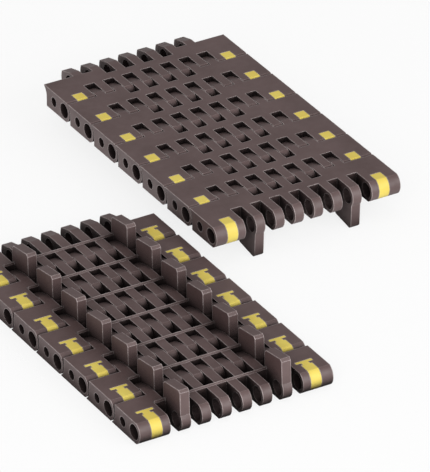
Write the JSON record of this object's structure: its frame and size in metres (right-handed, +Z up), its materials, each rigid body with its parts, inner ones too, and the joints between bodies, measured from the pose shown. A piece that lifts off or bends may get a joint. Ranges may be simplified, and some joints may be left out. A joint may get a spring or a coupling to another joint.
{
  "type": "mat top conveyor chain",
  "caption": "Moulded plastic mat top conveyor chain: full-width links hinged on hidden pins, with yellow retaining clips and guide tabs under the carrying face.",
  "frame": {"origin": "middle of the footprint of both lengths, at the bench that they lie on", "axes": "+X across the chain to the right, +Y back along it, +Z up"},
  "size_m": [0.1712, 0.2398, 0.0177],
  "materials": {
    "link_plastic": "satin moulded, dark brown grey",
    "clip_plastic": "satin moulded, yellow",
    "pin_plastic": "smooth extruded, natural"
  },
  "bodies": {
    "carry_1": {"carry_link_1": "link_plastic", "carry_clips_1": "clip_plastic"},
    "carry_2": {"carry_link_2": "link_plastic", "carry_clips_2": "clip_plastic", "carry_pin_2": "pin_plastic"},
    "carry_3": {"carry_link_3": "link_plastic", "carry_clips_3": "clip_plastic", "carry_pin_3": "pin_plastic"},
    "carry_4": {"carry_link_4": "link_plastic", "carry_clips_4": "clip_plastic", "carry_pin_4": "pin_plastic"},
    "carry_5": {"carry_link_5": "link_plastic", "carry_clips_5": "clip_plastic", "carry_pin_5": "pin_plastic"},
    "carry_6": {"carry_link_6": "link_plastic", "carry_clips_6": "clip_plastic", "carry_pin_6": "pin_plastic"},
    "carry_7": {"carry_link_7": "link_plastic", "carry_clips_7": "clip_plastic", "carry_pin_7": "pin_plastic"},
    "under_1": {"under_link_1": "link_plastic", "under_clips_1": "clip_plastic"},
    "under_2": {"under_link_2": "link_plastic", "under_clips_2": "clip_plastic", "under_pin_2": "pin_plastic"},
    "under_3": {"under_link_3": "link_plastic", "under_clips_3": "clip_plastic", "under_pin_3": "pin_plastic"},
    "under_4": {"under_link_4": "link_plastic", "under_clips_4": "clip_plastic", "under_pin_4": "pin_plastic"},
    "under_5": {"under_link_5": "link_plastic", "under_clips_5": "clip_plastic", "under_pin_5": "pin_plastic"},
    "under_6": {"under_link_6": "link_plastic", "under_clips_6": "clip_plastic", "under_pin_6": "pin_plastic"},
    "under_7": {"under_link_7": "link_plastic", "under_clips_7": "clip_plastic", "under_pin_7": "pin_plastic"}
  },
  "joints": [
    {"name": "carry_hinge_1", "type": "hinge", "parent": "carry_2", "child": "carry_1", "pos_m": [0.04428, -0.00122, 0.01335], "axis": [1, 0, 0], "range_deg": [-25, 30]},
    {"name": "carry_hinge_2", "type": "hinge", "parent": "carry_3", "child": "carry_2", "pos_m": [0.04428, 0.01783, 0.01335], "axis": [1, 0, 0], "range_deg": [-25, 30]},
    {"name": "carry_hinge_3", "type": "hinge", "parent": "carry_4", "child": "carry_3", "pos_m": [0.04428, 0.03687, 0.01335], "axis": [1, 0, 0], "range_deg": [-25, 30]},
    {"name": "carry_hinge_4", "type": "hinge", "parent": "carry_4", "child": "carry_5", "pos_m": [0.04428, 0.05593, 0.01335], "axis": [-1, 0, 0], "range_deg": [-25, 30]},
    {"name": "carry_hinge_5", "type": "hinge", "parent": "carry_5", "child": "carry_6", "pos_m": [0.04428, 0.07497, 0.01335], "axis": [-1, 0, 0], "range_deg": [-25, 30]},
    {"name": "carry_hinge_6", "type": "hinge", "parent": "carry_6", "child": "carry_7", "pos_m": [0.04428, 0.09402, 0.01335], "axis": [-1, 0, 0], "range_deg": [-25, 30]},
    {"name": "under_hinge_1", "type": "hinge", "parent": "under_2", "child": "under_1", "pos_m": [-0.04428, -0.09648, 0.00435], "axis": [-1, 0, 0], "range_deg": [-25, 30]},
    {"name": "under_hinge_2", "type": "hinge", "parent": "under_3", "child": "under_2", "pos_m": [-0.04428, -0.07742, 0.00435], "axis": [-1, 0, 0], "range_deg": [-25, 30]},
    {"name": "under_hinge_3", "type": "hinge", "parent": "under_4", "child": "under_3", "pos_m": [-0.04428, -0.05838, 0.00435], "axis": [-1, 0, 0], "range_deg": [-25, 30]},
    {"name": "under_hinge_4", "type": "hinge", "parent": "under_4", "child": "under_5", "pos_m": [-0.04428, -0.03932, 0.00435], "axis": [1, 0, 0], "range_deg": [-25, 30]},
    {"name": "under_hinge_5", "type": "hinge", "parent": "under_5", "child": "under_6", "pos_m": [-0.04428, -0.02028, 0.00435], "axis": [1, 0, 0], "range_deg": [-25, 30]},
    {"name": "under_hinge_6", "type": "hinge", "parent": "under_6", "child": "under_7", "pos_m": [-0.04428, -0.00122, 0.00435], "axis": [1, 0, 0], "range_deg": [-25, 30]},
    {"name": "under_length_slide", "type": "slide", "parent": "carry_4", "child": "under_4", "axis": [0, 1, 0], "range_m": [-0.04, 0.04]}
  ]
}
